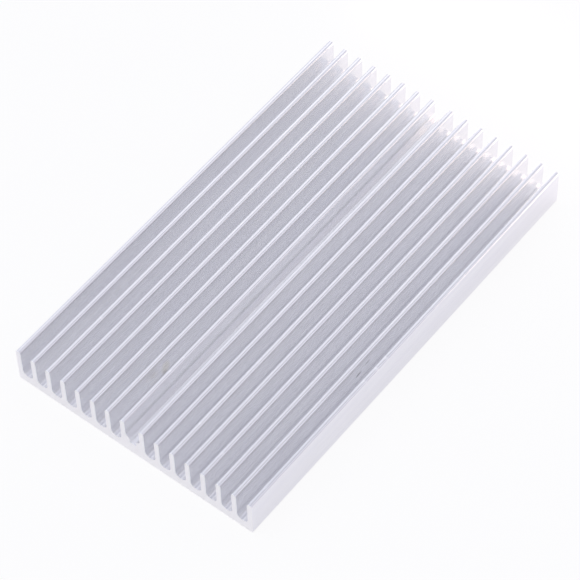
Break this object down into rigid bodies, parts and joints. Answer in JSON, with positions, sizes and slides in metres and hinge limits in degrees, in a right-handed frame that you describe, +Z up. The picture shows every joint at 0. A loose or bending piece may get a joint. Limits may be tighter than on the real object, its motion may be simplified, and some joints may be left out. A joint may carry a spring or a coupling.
{
  "type": "aluminum heat sink",
  "caption": "Flat extruded aluminium heat sink: a thick plate with straight parallel fins on top, a stepped screw channel down the middle and a flat underside.",
  "frame": {"origin": "middle of the flat underside", "axes": "+X across the fins, +Y along the fins, +Z up from the underside to the fin tips"},
  "size_m": [0.0934, 0.158, 0.0146],
  "materials": {
    "aluminium": "bare mill finish, satin, with fine drawing lines along the fins"
  },
  "bodies": {
    "root": {"heat_sink": "aluminium"}
  },
  "joints": []
}
